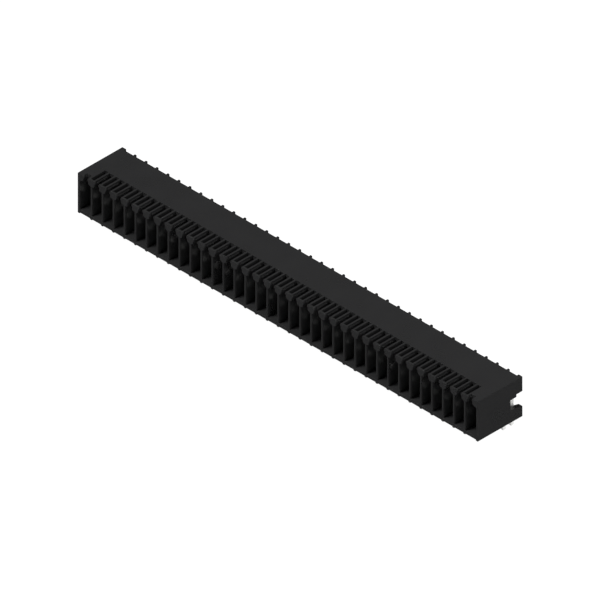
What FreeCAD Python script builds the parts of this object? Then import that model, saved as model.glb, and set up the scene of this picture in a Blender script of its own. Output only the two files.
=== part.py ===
import FreeCAD, Part
import Sketcher
import os

# Right angle board connector: one moulded housing with a row of open chambers,
# and in each chamber one stamped contact whose two solder tails go down through
# the board. Millimetres. X runs along the row, Y from the mating face to the
# rear and Z up. Z = 0 is the board surface. The origin is at mid-length, half
# way between the two rows of solder tails.

doc = FreeCAD.newDocument("board_connector")

# Driving dimensions
SIZES = [
    # the row of columns
    ("column_count", 36),
    ("column_pitch", 3.5),
    ("end_margin", 0.77),         # outer face to the line of the first partition
    # overall depth and height
    ("cover_depth", 13.67),       # mating face to the rear edge of the top
    ("rib_reach", 0.58),          # rear ribs and end walls behind that edge
    ("total_height", 10.89),
    ("foot_height", 0.26),
    ("foot_width", 0.86),
    ("foot_bevel", 0.2),
    # walls of the moulding
    ("floor_thickness", 0.74),
    ("cover_thickness", 1.0),
    ("partition_thickness", 0.5),
    ("partition_lead", 0.12),     # lead-in bevel on the front edge of a partition
    ("end_wall_front", 0.6),
    ("end_wall_rear", 1.2),
    ("chamber_depth", 9.0),
    ("rib_thickness", 0.5),
    # keying head on top of each partition
    ("slot_depth", 5.0),
    ("end_slot_depth", 1.35),
    ("head_width", 2.0),
    ("head_root_width", 1.86),
    ("head_root_height", 0.5),
    ("head_taper", 0.36),          # height of the slope between the head and its partition
    ("nose_width", 2.32),
    ("nose_height", 0.75),        # underside of the nose below the top face
    ("nose_length", 0.45),
    ("nose_shoulder", 0.3),
    ("groove_end", 0.85),
    ("ledge_end", 4.05),
    ("ledge_top", 0.35),
    ("ledge_slope", 0.25),
    ("ledge_width", 2.4),
    ("ledge_height", 0.83),       # underside of the ledge below the top face
    ("pocket_width", 1.03),
    ("pocket_front", 0.46),
    ("pocket_depth", 1.2),
    # stepped window in the rear edge of each end wall
    ("window_bottom", 2.78),      # at the rear edge
    ("window_sill", 3.25),        # in front of the step
    ("window_low_top", 6.2),
    ("window_high_top", 6.9),
    ("window_front", 10.45),
    ("window_step", 12.35),
    # stamped contact
    ("contact_thickness", 0.8),
    ("pin_height", 0.8),
    ("pin_centre", 4.6),
    ("pin_recess", 2.2),
    ("tip_length", 0.6),
    ("tip_size", 0.35),
    ("shoulder_rise", 0.9),       # plate that carries both tails, above the pin
    ("shoulder_drop", 2.0),       # and below the pin
    ("tail_width", 0.8),
    ("tail_length", 3.2),
    ("tail_tip", 0.3),
    ("front_row_setback", 10.6),  # mating face to the front row of tails
    ("row_spacing", 2.54),
]

dims = doc.addObject("Spreadsheet::Sheet", "dims")
for row, (alias, value) in enumerate(SIZES, start=1):
    dims.set(f"A{row}", alias)
    dims.set(f"B{row}", str(value))
    dims.setAlias(f"B{row}", alias)
doc.recompute()


def d(alias):
    """The expression that reads one driving dimension."""
    return f"dims.{alias}"


# Places worked out from the driving dimensions, as expressions
FRONT = f"(-{d('front_row_setback')} - {d('row_spacing')} / 2)"
SPAN = f"({d('column_count')} * {d('column_pitch')})"
HALF_LENGTH = f"({SPAN} / 2 + {d('end_margin')})"
END_LINE = f"({SPAN} / 2)"
TOP = d("total_height")
UNDER_TOP = f"({TOP} - {d('cover_thickness')})"
FLOOR = f"({d('foot_height')} + {d('floor_thickness')})"
WALL_REAR = f"({FRONT} + {d('front_row_setback')} - {d('tail_width')} / 2)"
REAR = f"({FRONT} + {d('cover_depth')} + {d('rib_reach')})"


def behind(place):
    """Y of a place measured back from the mating face."""
    return f"({FRONT} + {place})"


def below_top(drop):
    """Z of a place measured down from the top face."""
    return f"({TOP} - {drop})"


def origin_feature(body, role):
    for feature in body.Origin.OriginFeatures:
        if feature.Role == role:
            return feature
    raise ValueError(role)


def outline(body, name, plane, offset, *loops):
    """A sketch of closed straight-sided loops whose every corner is bound to the sheet."""
    sketch = body.newObject("Sketcher::SketchObject", name)
    sketch.AttachmentSupport = (origin_feature(body, plane), [""])
    sketch.MapMode = "FlatFace"
    if offset:
        sketch.setExpression("AttachmentOffset.Base.z", offset)
    edges = []
    constraints = []
    places = []
    for points in loops:
        first = len(edges)
        count = len(points)
        start = [FreeCAD.Vector(first + i + 1, (i + 1) ** 2, 0) for i in range(count)]
        for i, (across, up) in enumerate(points):
            after = (i + 1) % count
            edges.append(Part.LineSegment(start[i], start[after]))
            constraints.append(Sketcher.Constraint("Coincident", first + i, 2, first + after, 1))
            places.append((len(constraints), across))
            constraints.append(Sketcher.Constraint("DistanceX", first + i, 1, start[i].x))
            places.append((len(constraints), up))
            constraints.append(Sketcher.Constraint("DistanceY", first + i, 1, start[i].y))
    sketch.addGeometry(edges, False)
    sketch.addConstraint(constraints)
    for index, place in places:
        sketch.setExpression(f"Constraints[{index}]", place)
    return sketch


def pad(body, name, sketch, length, reverse=False, midplane=False):
    feature = body.newObject("PartDesign::Pad", name)
    feature.Profile = sketch
    feature.setExpression("Length", length)
    feature.Reversed = reverse
    feature.Midplane = midplane
    sketch.Visibility = False
    return feature


def pocket(body, name, sketch, length, reverse=False, midplane=False):
    feature = body.newObject("PartDesign::Pocket", name)
    feature.Profile = sketch
    feature.setExpression("Length", length)
    feature.Reversed = reverse
    feature.Midplane = midplane
    sketch.Visibility = False
    return feature


def row_of(body, name, originals, count, pitch):
    """Repeats features along the row, from the first one towards +X."""
    pattern = body.newObject("PartDesign::LinearPattern", name)
    pattern.Originals = originals
    pattern.Direction = (origin_feature(body, "X_Axis"), [""])
    pattern.setExpression("Occurrences", count)
    pattern.setExpression("Length", f"({count} - 1) * {pitch}")
    body.Tip = pattern
    return pattern


def from_front(body, name, start, depth, points):
    """A section across the row, padded rearwards from a depth behind the mating face."""
    sketch = outline(body, f"{name}_sketch", "XZ_Plane", f"-{behind(start)}", points)
    return pad(body, name, sketch, depth, reverse=True)


def mirrored_right(centre, half_points):
    """Corner list of a shape symmetric about x = centre, from its right half, top first."""
    right = [(f"{centre} + {half}", up) for half, up in half_points]
    left = [(f"{centre} - {half}", up) for half, up in reversed(half_points)]
    return right + left


# Housing: the long section, with floor, pin wall and top cover
housing = doc.addObject("PartDesign::Body", "housing")
section = outline(housing, "section_sketch", "YZ_Plane", None, [
    (FRONT, d("foot_height")),
    (WALL_REAR, d("foot_height")),
    (WALL_REAR, UNDER_TOP),
    (behind(d("cover_depth")), UNDER_TOP),
    (behind(d("cover_depth")), TOP),
    (behind(d("slot_depth")), TOP),
    (behind(d("slot_depth")), UNDER_TOP),
    (behind(d("chamber_depth")), UNDER_TOP),
    (behind(d("chamber_depth")), FLOOR),
    (FRONT, FLOOR),
])
pad(housing, "section", section, f"2 * {HALF_LENGTH}", midplane=True)


def end_profile(name, start):
    """Side of an end wall from a depth to the rear, with the stepped window in its edge."""
    return outline(housing, name, "YZ_Plane", HALF_LENGTH, [
        (start, "0"),
        (REAR, "0"),
        (REAR, d("window_bottom")),
        (behind(d("window_step")), d("window_sill")),
        (behind(d("window_front")), d("window_sill")),
        (behind(d("window_front")), d("window_low_top")),
        (behind(d("window_step")), d("window_low_top")),
        (behind(d("window_step")), d("window_high_top")),
        (REAR, d("window_high_top")),
        (REAR, TOP),
        (start, TOP),
    ])


end_front = pad(housing, "end_wall", end_profile("end_wall_sketch", FRONT),
                d("end_wall_front"), reverse=True)
end_rear = pad(housing, "end_block",
               end_profile("end_block_sketch", behind(d("chamber_depth"))),
               d("end_wall_rear"), reverse=True)

# Over each end column the cover reaches almost to the front, and half a head hangs
# from the end wall
LAST_LINE = f"({END_LINE} - {d('column_pitch')})"
end_cover = from_front(housing, "end_cover", d("end_slot_depth"),
                       f"{d('slot_depth')} - {d('end_slot_depth')}", [
    (f"{LAST_LINE} + {d('head_width')} / 2", UNDER_TOP),
    (HALF_LENGTH, UNDER_TOP),
    (HALF_LENGTH, TOP),
    (f"{LAST_LINE} + {d('head_width')} / 2", TOP),
])
HEAD_HALF = f"{d('head_width')} / 2"
ROOT_HALF = f"{d('head_root_width')} / 2"
NOSE_HALF = f"{d('nose_width')} / 2"
LEDGE_HALF = f"{d('ledge_width')} / 2"
STEM_HALF = f"{d('partition_thickness')} / 2"
LEDGE_TOP = below_top(d("ledge_top"))
LEDGE_SIDE = below_top(f"({d('ledge_top')} + {d('ledge_slope')})")
LEDGE_LOW = below_top(d("ledge_height"))
NOSE_LOW = below_top(d("nose_height"))
ROOT_BOTTOM = f"({UNDER_TOP} - {d('head_root_height')})"
TAPER_END = f"({ROOT_BOTTOM} - {d('head_taper')})"
END_WALL_FACE = f"({HALF_LENGTH} - {d('end_wall_front')})"
end_head = from_front(housing, "end_head", "0", d("slot_depth"), [
    (f"{END_LINE} - {ROOT_HALF}", TOP),
    (f"{END_LINE} - {ROOT_HALF}", ROOT_BOTTOM),
    (END_WALL_FACE, TAPER_END),
    (HALF_LENGTH, TAPER_END),
    (HALF_LENGTH, TOP),
])
end_nose = from_front(housing, "end_nose", "0", d("nose_length"), [
    (f"{END_LINE} - {HEAD_HALF}", TOP),
    (f"{END_LINE} - {NOSE_HALF}", below_top(d("nose_shoulder"))),
    (f"{END_LINE} - {NOSE_HALF}", NOSE_LOW),
    (HALF_LENGTH, NOSE_LOW),
    (HALF_LENGTH, TOP),
])
end_rail = from_front(housing, "end_rail", d("groove_end"),
                      f"{d('end_slot_depth')} - {d('groove_end')}", [
    (f"{END_LINE} - {HEAD_HALF}", TOP),
    (f"{END_LINE} - {HEAD_HALF}", LEDGE_TOP),
    (f"{END_LINE} - {LEDGE_HALF}", LEDGE_SIDE),
    (f"{END_LINE} - {LEDGE_HALF}", LEDGE_LOW),
    (HALF_LENGTH, LEDGE_LOW),
    (HALF_LENGTH, TOP),
])
lead_sketch = outline(housing, "end_lead_sketch", "XY_Plane", FLOOR, [
    (END_WALL_FACE, behind(d("partition_lead"))),
    (END_WALL_FACE, FRONT),
    (f"{END_WALL_FACE} + {d('partition_lead')}", FRONT),
])
end_lead = pocket(housing, "end_lead", lead_sketch, f"{TAPER_END} - {FLOOR}", reverse=True)
both_ends = housing.newObject("PartDesign::Mirrored", "both_ends")
both_ends.Originals = [end_front, end_rear, end_cover, end_head, end_nose, end_rail, end_lead]
both_ends.MirrorPlane = (origin_feature(housing, "YZ_Plane"), [""])
housing.Tip = both_ends

# One square hole through the pin wall for each contact
FIRST_COLUMN = f"(-{END_LINE} + {d('column_pitch')} / 2)"
PIN_LOW = f"({d('pin_centre')} - {d('pin_height')} / 2)"
PIN_HIGH = f"({d('pin_centre')} + {d('pin_height')} / 2)"
seat_sketch = outline(housing, "pin_seat_sketch", "XZ_Plane", f"-{behind(d('chamber_depth'))}", [
    (f"{FIRST_COLUMN} - {d('contact_thickness')} / 2", PIN_LOW),
    (f"{FIRST_COLUMN} + {d('contact_thickness')} / 2", PIN_LOW),
    (f"{FIRST_COLUMN} + {d('contact_thickness')} / 2", PIN_HIGH),
    (f"{FIRST_COLUMN} - {d('contact_thickness')} / 2", PIN_HIGH),
])
seat = pocket(housing, "pin_seat", seat_sketch, f"{WALL_REAR} - {behind(d('chamber_depth'))}")
row_of(housing, "pin_seats", [seat], d("column_count"), d("column_pitch"))

# First partition, at the left end: foot, wall, keying head and rear rib
LINE = f"(-{LAST_LINE})"
foot_corners = [
    (f"{d('foot_width')} / 2", d("foot_height")),
    (f"({d('foot_width')} / 2 - {d('foot_bevel')})", "0"),
]
foot = from_front(housing, "foot", "0", f"{REAR} - {FRONT}", mirrored_right(LINE, foot_corners))
wall_points = [
    (f"{LINE} - {STEM_HALF}", behind(d("partition_lead"))),
    (f"{LINE} - {STEM_HALF} + {d('partition_lead')}", FRONT),
    (f"{LINE} + {STEM_HALF} - {d('partition_lead')}", FRONT),
    (f"{LINE} + {STEM_HALF}", behind(d("partition_lead"))),
    (f"{LINE} + {STEM_HALF}", WALL_REAR),
    (f"{LINE} - {STEM_HALF}", WALL_REAR),
]
wall_sketch = outline(housing, "partition_sketch", "XY_Plane", d("foot_height"), wall_points)
partition = pad(housing, "partition", wall_sketch, f"{UNDER_TOP} - {d('foot_height')}")
head = from_front(housing, "head", "0", d("slot_depth"), mirrored_right(LINE, [
    (ROOT_HALF, TOP),
    (ROOT_HALF, ROOT_BOTTOM),
    (STEM_HALF, TAPER_END),
]))
nose = from_front(housing, "nose", "0", d("nose_length"), mirrored_right(LINE, [
    (HEAD_HALF, TOP),
    (NOSE_HALF, below_top(d("nose_shoulder"))),
    (NOSE_HALF, NOSE_LOW),
]))
rail = from_front(housing, "rail", d("groove_end"), f"{d('slot_depth')} - {d('groove_end')}",
                  mirrored_right(LINE, [(HEAD_HALF, TOP), (HEAD_HALF, LEDGE_LOW)]))
ledge = from_front(housing, "ledge", d("groove_end"), f"{d('ledge_end')} - {d('groove_end')}",
                   mirrored_right(LINE, [
    (HEAD_HALF, LEDGE_TOP),
    (LEDGE_HALF, LEDGE_SIDE),
    (LEDGE_HALF, LEDGE_LOW),
]))
RIB_HALF = f"{d('rib_thickness')} / 2"
rib_sketch = outline(housing, "rib_sketch", "XY_Plane", d("foot_height"), [
    (f"{LINE} - {RIB_HALF}", WALL_REAR),
    (f"{LINE} + {RIB_HALF}", WALL_REAR),
    (f"{LINE} + {RIB_HALF}", REAR),
    (f"{LINE} - {RIB_HALF}", REAR),
])
rib = pad(housing, "rib", rib_sketch, f"{TOP} - {d('foot_height')}")
keying_sketch = outline(housing, "keying_pocket_sketch", "XY_Plane", TOP, [
    (f"{LINE} - {d('pocket_width')} / 2", behind(d("pocket_front"))),
    (f"{LINE} + {d('pocket_width')} / 2", behind(d("pocket_front"))),
    (f"{LINE} + {d('pocket_width')} / 2", behind(d("slot_depth"))),
    (f"{LINE} - {d('pocket_width')} / 2", behind(d("slot_depth"))),
])
keying = pocket(housing, "keying_pocket", keying_sketch, d("pocket_depth"))
row_of(housing, "partitions", [foot, partition, head, nose, rail, ledge, rib, keying],
       f"({d('column_count')} - 1)", d("column_pitch"))


TIP = behind(d("pin_recess"))
TIP_FULL = f"({TIP} + {d('tip_length')})"
TIP_HALF = f"{d('tip_size')} / 2"
TAIL_END = f"-{d('tail_length')}"
TAIL_FULL = f"({d('tail_tip')} - {d('tail_length')})"
SHOULDER_HIGH = f"({PIN_HIGH} + {d('shoulder_rise')})"
SHOULDER_LOW = f"({PIN_LOW} - {d('shoulder_drop')})"
FRONT_ROW = f"(-{d('row_spacing')} / 2)"
REAR_ROW = f"({d('row_spacing')} / 2)"
TAIL_HALF = f"{d('tail_width')} / 2"


def tail_end(row):
    """Corners of one tail's blunt point, from its rear side round to its front side."""
    return [
        (f"{row} + {TAIL_HALF}", TAIL_FULL),
        (f"{row} + {TIP_HALF}", TAIL_END),
        (f"{row} - {TIP_HALF}", TAIL_END),
        (f"{row} - {TAIL_HALF}", TAIL_FULL),
    ]


def contact_profile(body):
    """Stamped outline seen from the side: pin, shoulders on the wall and two tails."""
    pin_top = [
        (TIP, f"{d('pin_centre')} + {TIP_HALF}"),
        (TIP_FULL, PIN_HIGH),
        (WALL_REAR, PIN_HIGH),
        (WALL_REAR, SHOULDER_HIGH),
        (f"{REAR_ROW} + {TAIL_HALF}", SHOULDER_HIGH),
    ]
    between_tails = [
        (f"{REAR_ROW} - {TAIL_HALF}", SHOULDER_LOW),
        (f"{FRONT_ROW} + {TAIL_HALF}", SHOULDER_LOW),
    ]
    pin_underside = [
        (WALL_REAR, PIN_LOW),
        (TIP_FULL, PIN_LOW),
        (TIP, f"{d('pin_centre')} - {TIP_HALF}"),
    ]
    points = pin_top + tail_end(REAR_ROW) + between_tails + tail_end(FRONT_ROW) + pin_underside
    return outline(body, f"{body.Name}_profile", "YZ_Plane", None, points)


def side_taper(body, name, plane, end, full, depth):
    """Cuts both sides of a point down to the tip size."""
    half = f"{d('contact_thickness')} / 2"
    corners = [(TIP_HALF, end), (half, end), (half, full)]
    mirrored = [(f"-({across})", along) for across, along in corners]
    sketch = outline(body, f"{name}_sketch", plane, None, corners, mirrored)
    return pocket(body, name, sketch, depth, midplane=True)


def make_contact(number):
    label = f"contact_{number:02d}"
    body = doc.addObject("PartDesign::Body", label)
    body.Label = label
    pad(body, f"{label}_blank", contact_profile(body), d("contact_thickness"), midplane=True)
    side_taper(body, f"{label}_pin_point", "XY_Plane", TIP, TIP_FULL, f"2 * {TOP}")
    side_taper(body, f"{label}_tail_points", "XZ_Plane", TAIL_END, TAIL_FULL,
               f"2 * ({REAR} - {FRONT})")
    body.setExpression("Placement.Base.x",
                       f"({number} - ({d('column_count')} + 1) / 2) * {d('column_pitch')}")
    return body


contacts = [make_contact(number) for number in range(1, int(dims.get("column_count")) + 1)]
doc.recompute()

# Every object built, and every sub-part one valid solid
pieces = [housing] + contacts
for item in doc.Objects:
    if "Invalid" in item.State or "Error" in item.State:
        raise RuntimeError(f"{item.Name} failed: {item.State}")
for piece in pieces:
    if piece.Shape.isNull() or not piece.Shape.isValid() or len(piece.Shape.Solids) != 1:
        raise RuntimeError(f"{piece.Label} is not one valid solid")

os.makedirs("parts", exist_ok=True)
for piece in pieces:
    piece.Shape.exportStep(f"parts/{piece.Label}.step")
print(f"wrote {len(pieces)} parts")
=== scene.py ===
import math

import bpy
from mathutils import Matrix, Vector


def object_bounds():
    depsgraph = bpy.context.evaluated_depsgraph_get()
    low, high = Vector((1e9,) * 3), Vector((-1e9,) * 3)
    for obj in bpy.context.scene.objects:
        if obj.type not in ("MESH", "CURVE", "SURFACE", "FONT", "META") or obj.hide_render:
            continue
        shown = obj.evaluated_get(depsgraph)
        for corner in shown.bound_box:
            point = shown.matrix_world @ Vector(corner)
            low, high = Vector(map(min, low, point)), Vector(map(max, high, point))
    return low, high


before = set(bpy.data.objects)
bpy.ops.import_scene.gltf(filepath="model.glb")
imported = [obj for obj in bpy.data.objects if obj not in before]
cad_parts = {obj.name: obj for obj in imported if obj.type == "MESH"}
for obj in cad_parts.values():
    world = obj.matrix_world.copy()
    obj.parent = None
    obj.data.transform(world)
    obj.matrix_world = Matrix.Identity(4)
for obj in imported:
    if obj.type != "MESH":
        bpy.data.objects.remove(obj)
cad_box = [list(corner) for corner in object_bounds()]

scene = bpy.context.scene
collection = scene.collection

# Lengths are in metres
MM = 0.001
GRAIN_DEPTH = 0.01 * MM
EDGE_SAMPLES = 4
PLASTIC_EDGE = 0.05 * MM
METAL_EDGE = 0.06 * MM
FLOOR_REACH = 3.0
VIEW_WIDTH = 0.13527
VIEW_CENTRE = Vector((-3.9313 * MM, -0.8387 * MM, 0.0128 * MM))
CAMERA_DISTANCE = 0.6
CAMERA_CLIP_END = 10.0


# Node helpers

def new_material(name):
    material = bpy.data.materials.new(name)
    material.use_nodes = True
    tree = material.node_tree
    tree.nodes.clear()
    output = tree.nodes.new("ShaderNodeOutputMaterial")
    shader = tree.nodes.new("ShaderNodeBsdfPrincipled")
    tree.links.new(shader.outputs["BSDF"], output.inputs["Surface"])
    return material, tree, shader


def node(tree, kind, **values):
    """A node with its sockets, or else its settings, set by name."""
    made = tree.nodes.new(kind)
    for key, value in values.items():
        if key in made.inputs:
            made.inputs[key].default_value = value
        else:
            setattr(made, key, value)
    return made


def object_coordinates(tree):
    return node(tree, "ShaderNodeTexCoord").outputs["Object"]


def noise(tree, coordinates, scale, detail=2.0):
    made = node(tree, "ShaderNodeTexNoise", Scale=scale, Detail=detail)
    tree.links.new(coordinates, made.inputs["Vector"])
    return made.outputs["Fac"]


def ramp(tree, value, low, high, from_min=0.0, from_max=1.0):
    """Values from from_min to from_max, mapped to low to high."""
    made = node(tree, "ShaderNodeMapRange")
    made.inputs["From Min"].default_value = from_min
    made.inputs["From Max"].default_value = from_max
    made.inputs["To Min"].default_value = low
    made.inputs["To Max"].default_value = high
    tree.links.new(value, made.inputs["Value"])
    return made.outputs["Result"]


def colour_between(tree, shader, factor, dark, light):
    colour = node(tree, "ShaderNodeMix", data_type="RGBA")
    colour.inputs["A"].default_value = (*dark, 1.0)
    colour.inputs["B"].default_value = (*light, 1.0)
    tree.links.new(factor, colour.inputs["Factor"])
    tree.links.new(colour.outputs["Result"], shader.inputs["Base Color"])


def grain_over_rounded_edges(tree, shader, place, scale, strength, radius):
    bump = node(tree, "ShaderNodeBump", Strength=strength, Distance=GRAIN_DEPTH)
    tree.links.new(noise(tree, place, scale), bump.inputs["Height"])
    edge = node(tree, "ShaderNodeBevel", samples=EDGE_SAMPLES, Radius=radius)
    tree.links.new(edge.outputs["Normal"], bump.inputs["Normal"])
    tree.links.new(bump.outputs["Normal"], shader.inputs["Normal"])


# Materials

def black_plastic():
    """Black moulding: fine grain, faint changes of colour and sheen, edges rounded in shading."""
    material, tree, shader = new_material("black_plastic")
    place = object_coordinates(tree)
    shader.inputs["Specular IOR Level"].default_value = 0.5
    cloud = noise(tree, place, 160.0, detail=3.0)
    colour_between(tree, shader, cloud, (0.0172, 0.0172, 0.0176), (0.0196, 0.0196, 0.0200))
    sheen = ramp(tree, cloud, 0.265, 0.315, from_min=0.3, from_max=0.7)
    tree.links.new(sheen, shader.inputs["Roughness"])
    grain_over_rounded_edges(tree, shader, place, 9000.0, 0.12, PLASTIC_EDGE)
    return material


def tin():
    """Matt tin plating over a stamped strip: fine grain and patches of duller plating."""
    material, tree, shader = new_material("tin_plate")
    place = object_coordinates(tree)
    shader.inputs["Metallic"].default_value = 0.1
    cloud = noise(tree, place, 900.0, detail=3.0)
    colour_between(tree, shader, cloud, (0.88, 0.88, 0.86), (0.95, 0.95, 0.93))
    tree.links.new(ramp(tree, cloud, 0.22, 0.40), shader.inputs["Roughness"])
    grain_over_rounded_edges(tree, shader, place, 14000.0, 0.15, METAL_EDGE)
    return material


def floor_paper():
    """White ground that lights itself, so it is plain white and casts light up at the part."""
    material, tree, shader = new_material("white_paper")
    place = object_coordinates(tree)
    shader.inputs["Base Color"].default_value = (0.05, 0.05, 0.05, 1.0)
    shader.inputs["Roughness"].default_value = 0.9
    shader.inputs["Specular IOR Level"].default_value = 0.1
    shader.inputs["Emission Color"].default_value = (1.0, 1.0, 1.0, 1.0)
    shader.inputs["Emission Strength"].default_value = 1.0
    bump = node(tree, "ShaderNodeBump", Strength=0.05, Distance=0.1 * MM)
    tree.links.new(noise(tree, place, 400.0), bump.inputs["Height"])
    tree.links.new(bump.outputs["Normal"], shader.inputs["Normal"])
    return material


plastic = black_plastic()
plating = tin()

for name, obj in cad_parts.items():
    obj.data.materials.clear()
    obj.data.materials.append(plastic if name == "housing" else plating)
    for face in obj.data.polygons:
        face.use_smooth = False


# Stage: a pale floor under the tips of the tails

def floor_plane(level):
    mesh = bpy.data.meshes.new("floor")
    corners = [(x * FLOOR_REACH, y * FLOOR_REACH, 0.0)
               for x, y in ((-1, -1), (1, -1), (1, 1), (-1, 1))]
    mesh.from_pydata(corners, [], [(0, 1, 2, 3)])
    mesh.materials.append(floor_paper())
    obj = bpy.data.objects.new("floor", mesh)
    collection.objects.link(obj)
    obj.location.z = level
    obj.visible_glossy = False
    return obj


lowest = cad_box[0][2]
floor_plane(lowest)


# Light: a dim room, slightly lighter overhead, and three soft lamps that face the part

def dim_room():
    world = bpy.data.worlds.new("studio")
    world.use_nodes = True
    sky = world.node_tree
    sky.nodes.clear()
    output = node(sky, "ShaderNodeOutputWorld")
    light = node(sky, "ShaderNodeBackground", Strength=1.0)
    sky.links.new(light.outputs["Background"], output.inputs["Surface"])
    split = node(sky, "ShaderNodeSeparateXYZ")
    direction = node(sky, "ShaderNodeTexCoord").outputs["Generated"]
    sky.links.new(direction, split.inputs["Vector"])
    level = ramp(sky, split.outputs["Z"], 0.018, 0.024, from_min=-0.6, from_max=0.6)
    sky.links.new(level, light.inputs["Color"])
    return world


def softbox(name, place, size, watts):
    lamp = bpy.data.lights.new(name, "AREA")
    lamp.shape = "RECTANGLE"
    lamp.size, lamp.size_y = size
    lamp.energy = watts
    obj = bpy.data.objects.new(name, lamp)
    collection.objects.link(obj)
    obj.location = place
    obj.rotation_euler = (-Vector(place)).to_track_quat("-Z", "Y").to_euler()


scene.world = dim_room()
softbox("overhead", (0.2, 0.05, 0.9), (1.0, 1.0), 1.7)
softbox("key", (-0.43, -0.826, 1.586), (0.54, 0.54), 42.0)
softbox("fill", (0.9, -0.02, 0.28), (0.4, 1.0), 6.0)


# Camera at the photograph's angle: straight on to a corner, 35 degrees up, no perspective

elevation = math.radians(35.0)
azimuth = math.radians(45.0)
back = Vector((math.cos(elevation) * math.sin(azimuth),
               -math.cos(elevation) * math.cos(azimuth),
               math.sin(elevation)))
right = Vector((math.cos(azimuth), math.sin(azimuth), 0.0))
up = back.cross(right)
lens = bpy.data.cameras.new("camera")
lens.type = "ORTHO"
lens.ortho_scale = VIEW_WIDTH
lens.clip_end = CAMERA_CLIP_END
camera = bpy.data.objects.new("camera", lens)
collection.objects.link(camera)
turn = Matrix((right, up, back)).transposed().to_4x4()
camera.matrix_world = Matrix.Translation(VIEW_CENTRE + back * CAMERA_DISTANCE) @ turn
scene.camera = camera

scene.view_settings.view_transform = "Standard"
scene.view_settings.look = "None"
scene.view_settings.exposure = 0.0
scene.view_settings.gamma = 1.0
